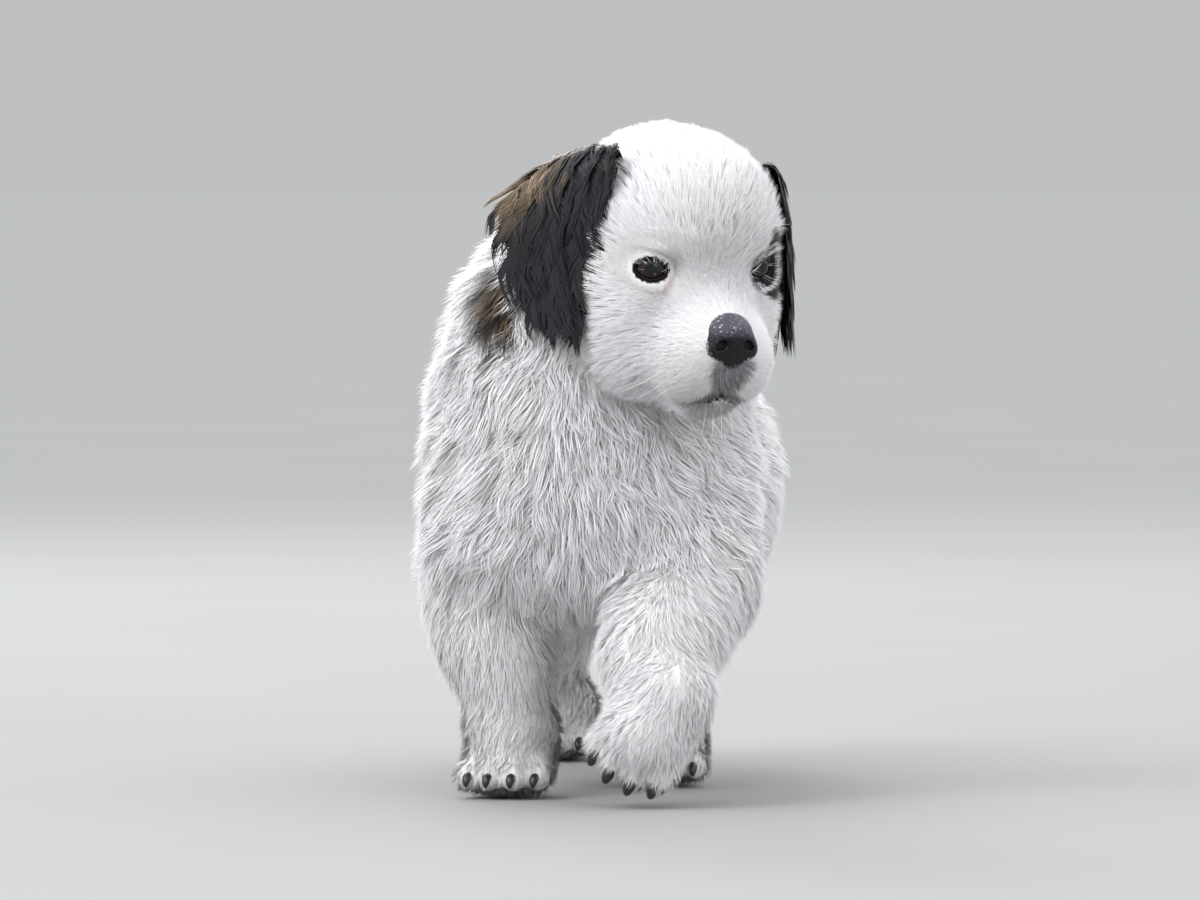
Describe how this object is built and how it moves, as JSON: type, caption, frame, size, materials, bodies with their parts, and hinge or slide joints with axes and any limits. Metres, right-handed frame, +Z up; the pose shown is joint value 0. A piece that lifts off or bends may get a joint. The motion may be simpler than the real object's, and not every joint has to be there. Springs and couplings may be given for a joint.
{
  "type": "saint bernard puppy",
  "caption": "Life-size still model of a fluffy white Saint Bernard puppy with black ears, walking with its head turned and one forepaw lifted.",
  "frame": {"origin": "middle of the box around the puppy, at the level of its soles", "axes": "+Z up, the body faces -Y, +X is the puppy's left"},
  "size_m": [0.2077, 0.4679, 0.3631],
  "materials": {
    "white_coat": "long soft puppy coat, cool white",
    "black_coat": "wavy black ear hair with a brown fringe",
    "nose": "damp pebbled leather",
    "eye": "wet, very dark brown",
    "claw": "dark horn",
    "pad": "soft black pad leather"
  },
  "bodies": {
    "root": {"eye_right": "eye", "eye_left": "eye", "nose": "nose", "head": "white_coat", "jaw": "white_coat", "ear_right": "black_coat", "ear_left": "black_coat", "neck": "white_coat", "torso": "white_coat", "tail": "white_coat", "foreleg_right": "white_coat", "forepaw_right": "white_coat", "forepaw_right_claw_1": "claw", "forepaw_right_claw_2": "claw", "forepaw_right_claw_3": "claw", "forepaw_right_claw_4": "claw", "foreleg_left": "white_coat", "forepaw_left": "white_coat", "forepaw_left_claw_1": "claw", "forepaw_left_claw_2": "claw", "forepaw_left_claw_3": "claw", "forepaw_left_claw_4": "claw", "forepaw_left_pad_1": "pad", "forepaw_left_pad_2": "pad", "forepaw_left_pad_3": "pad", "forepaw_left_pad_4": "pad", "forepaw_left_pad_5": "pad", "hindleg_right": "white_coat", "hindpaw_right": "white_coat", "hindpaw_right_claw_1": "claw", "hindpaw_right_claw_2": "claw", "hindpaw_right_claw_3": "claw", "hindpaw_right_claw_4": "claw", "hindleg_left": "white_coat", "hindpaw_left": "white_coat", "hindpaw_left_claw_1": "claw", "hindpaw_left_claw_2": "claw", "hindpaw_left_claw_3": "claw", "hindpaw_left_claw_4": "claw"}
  },
  "joints": []
}
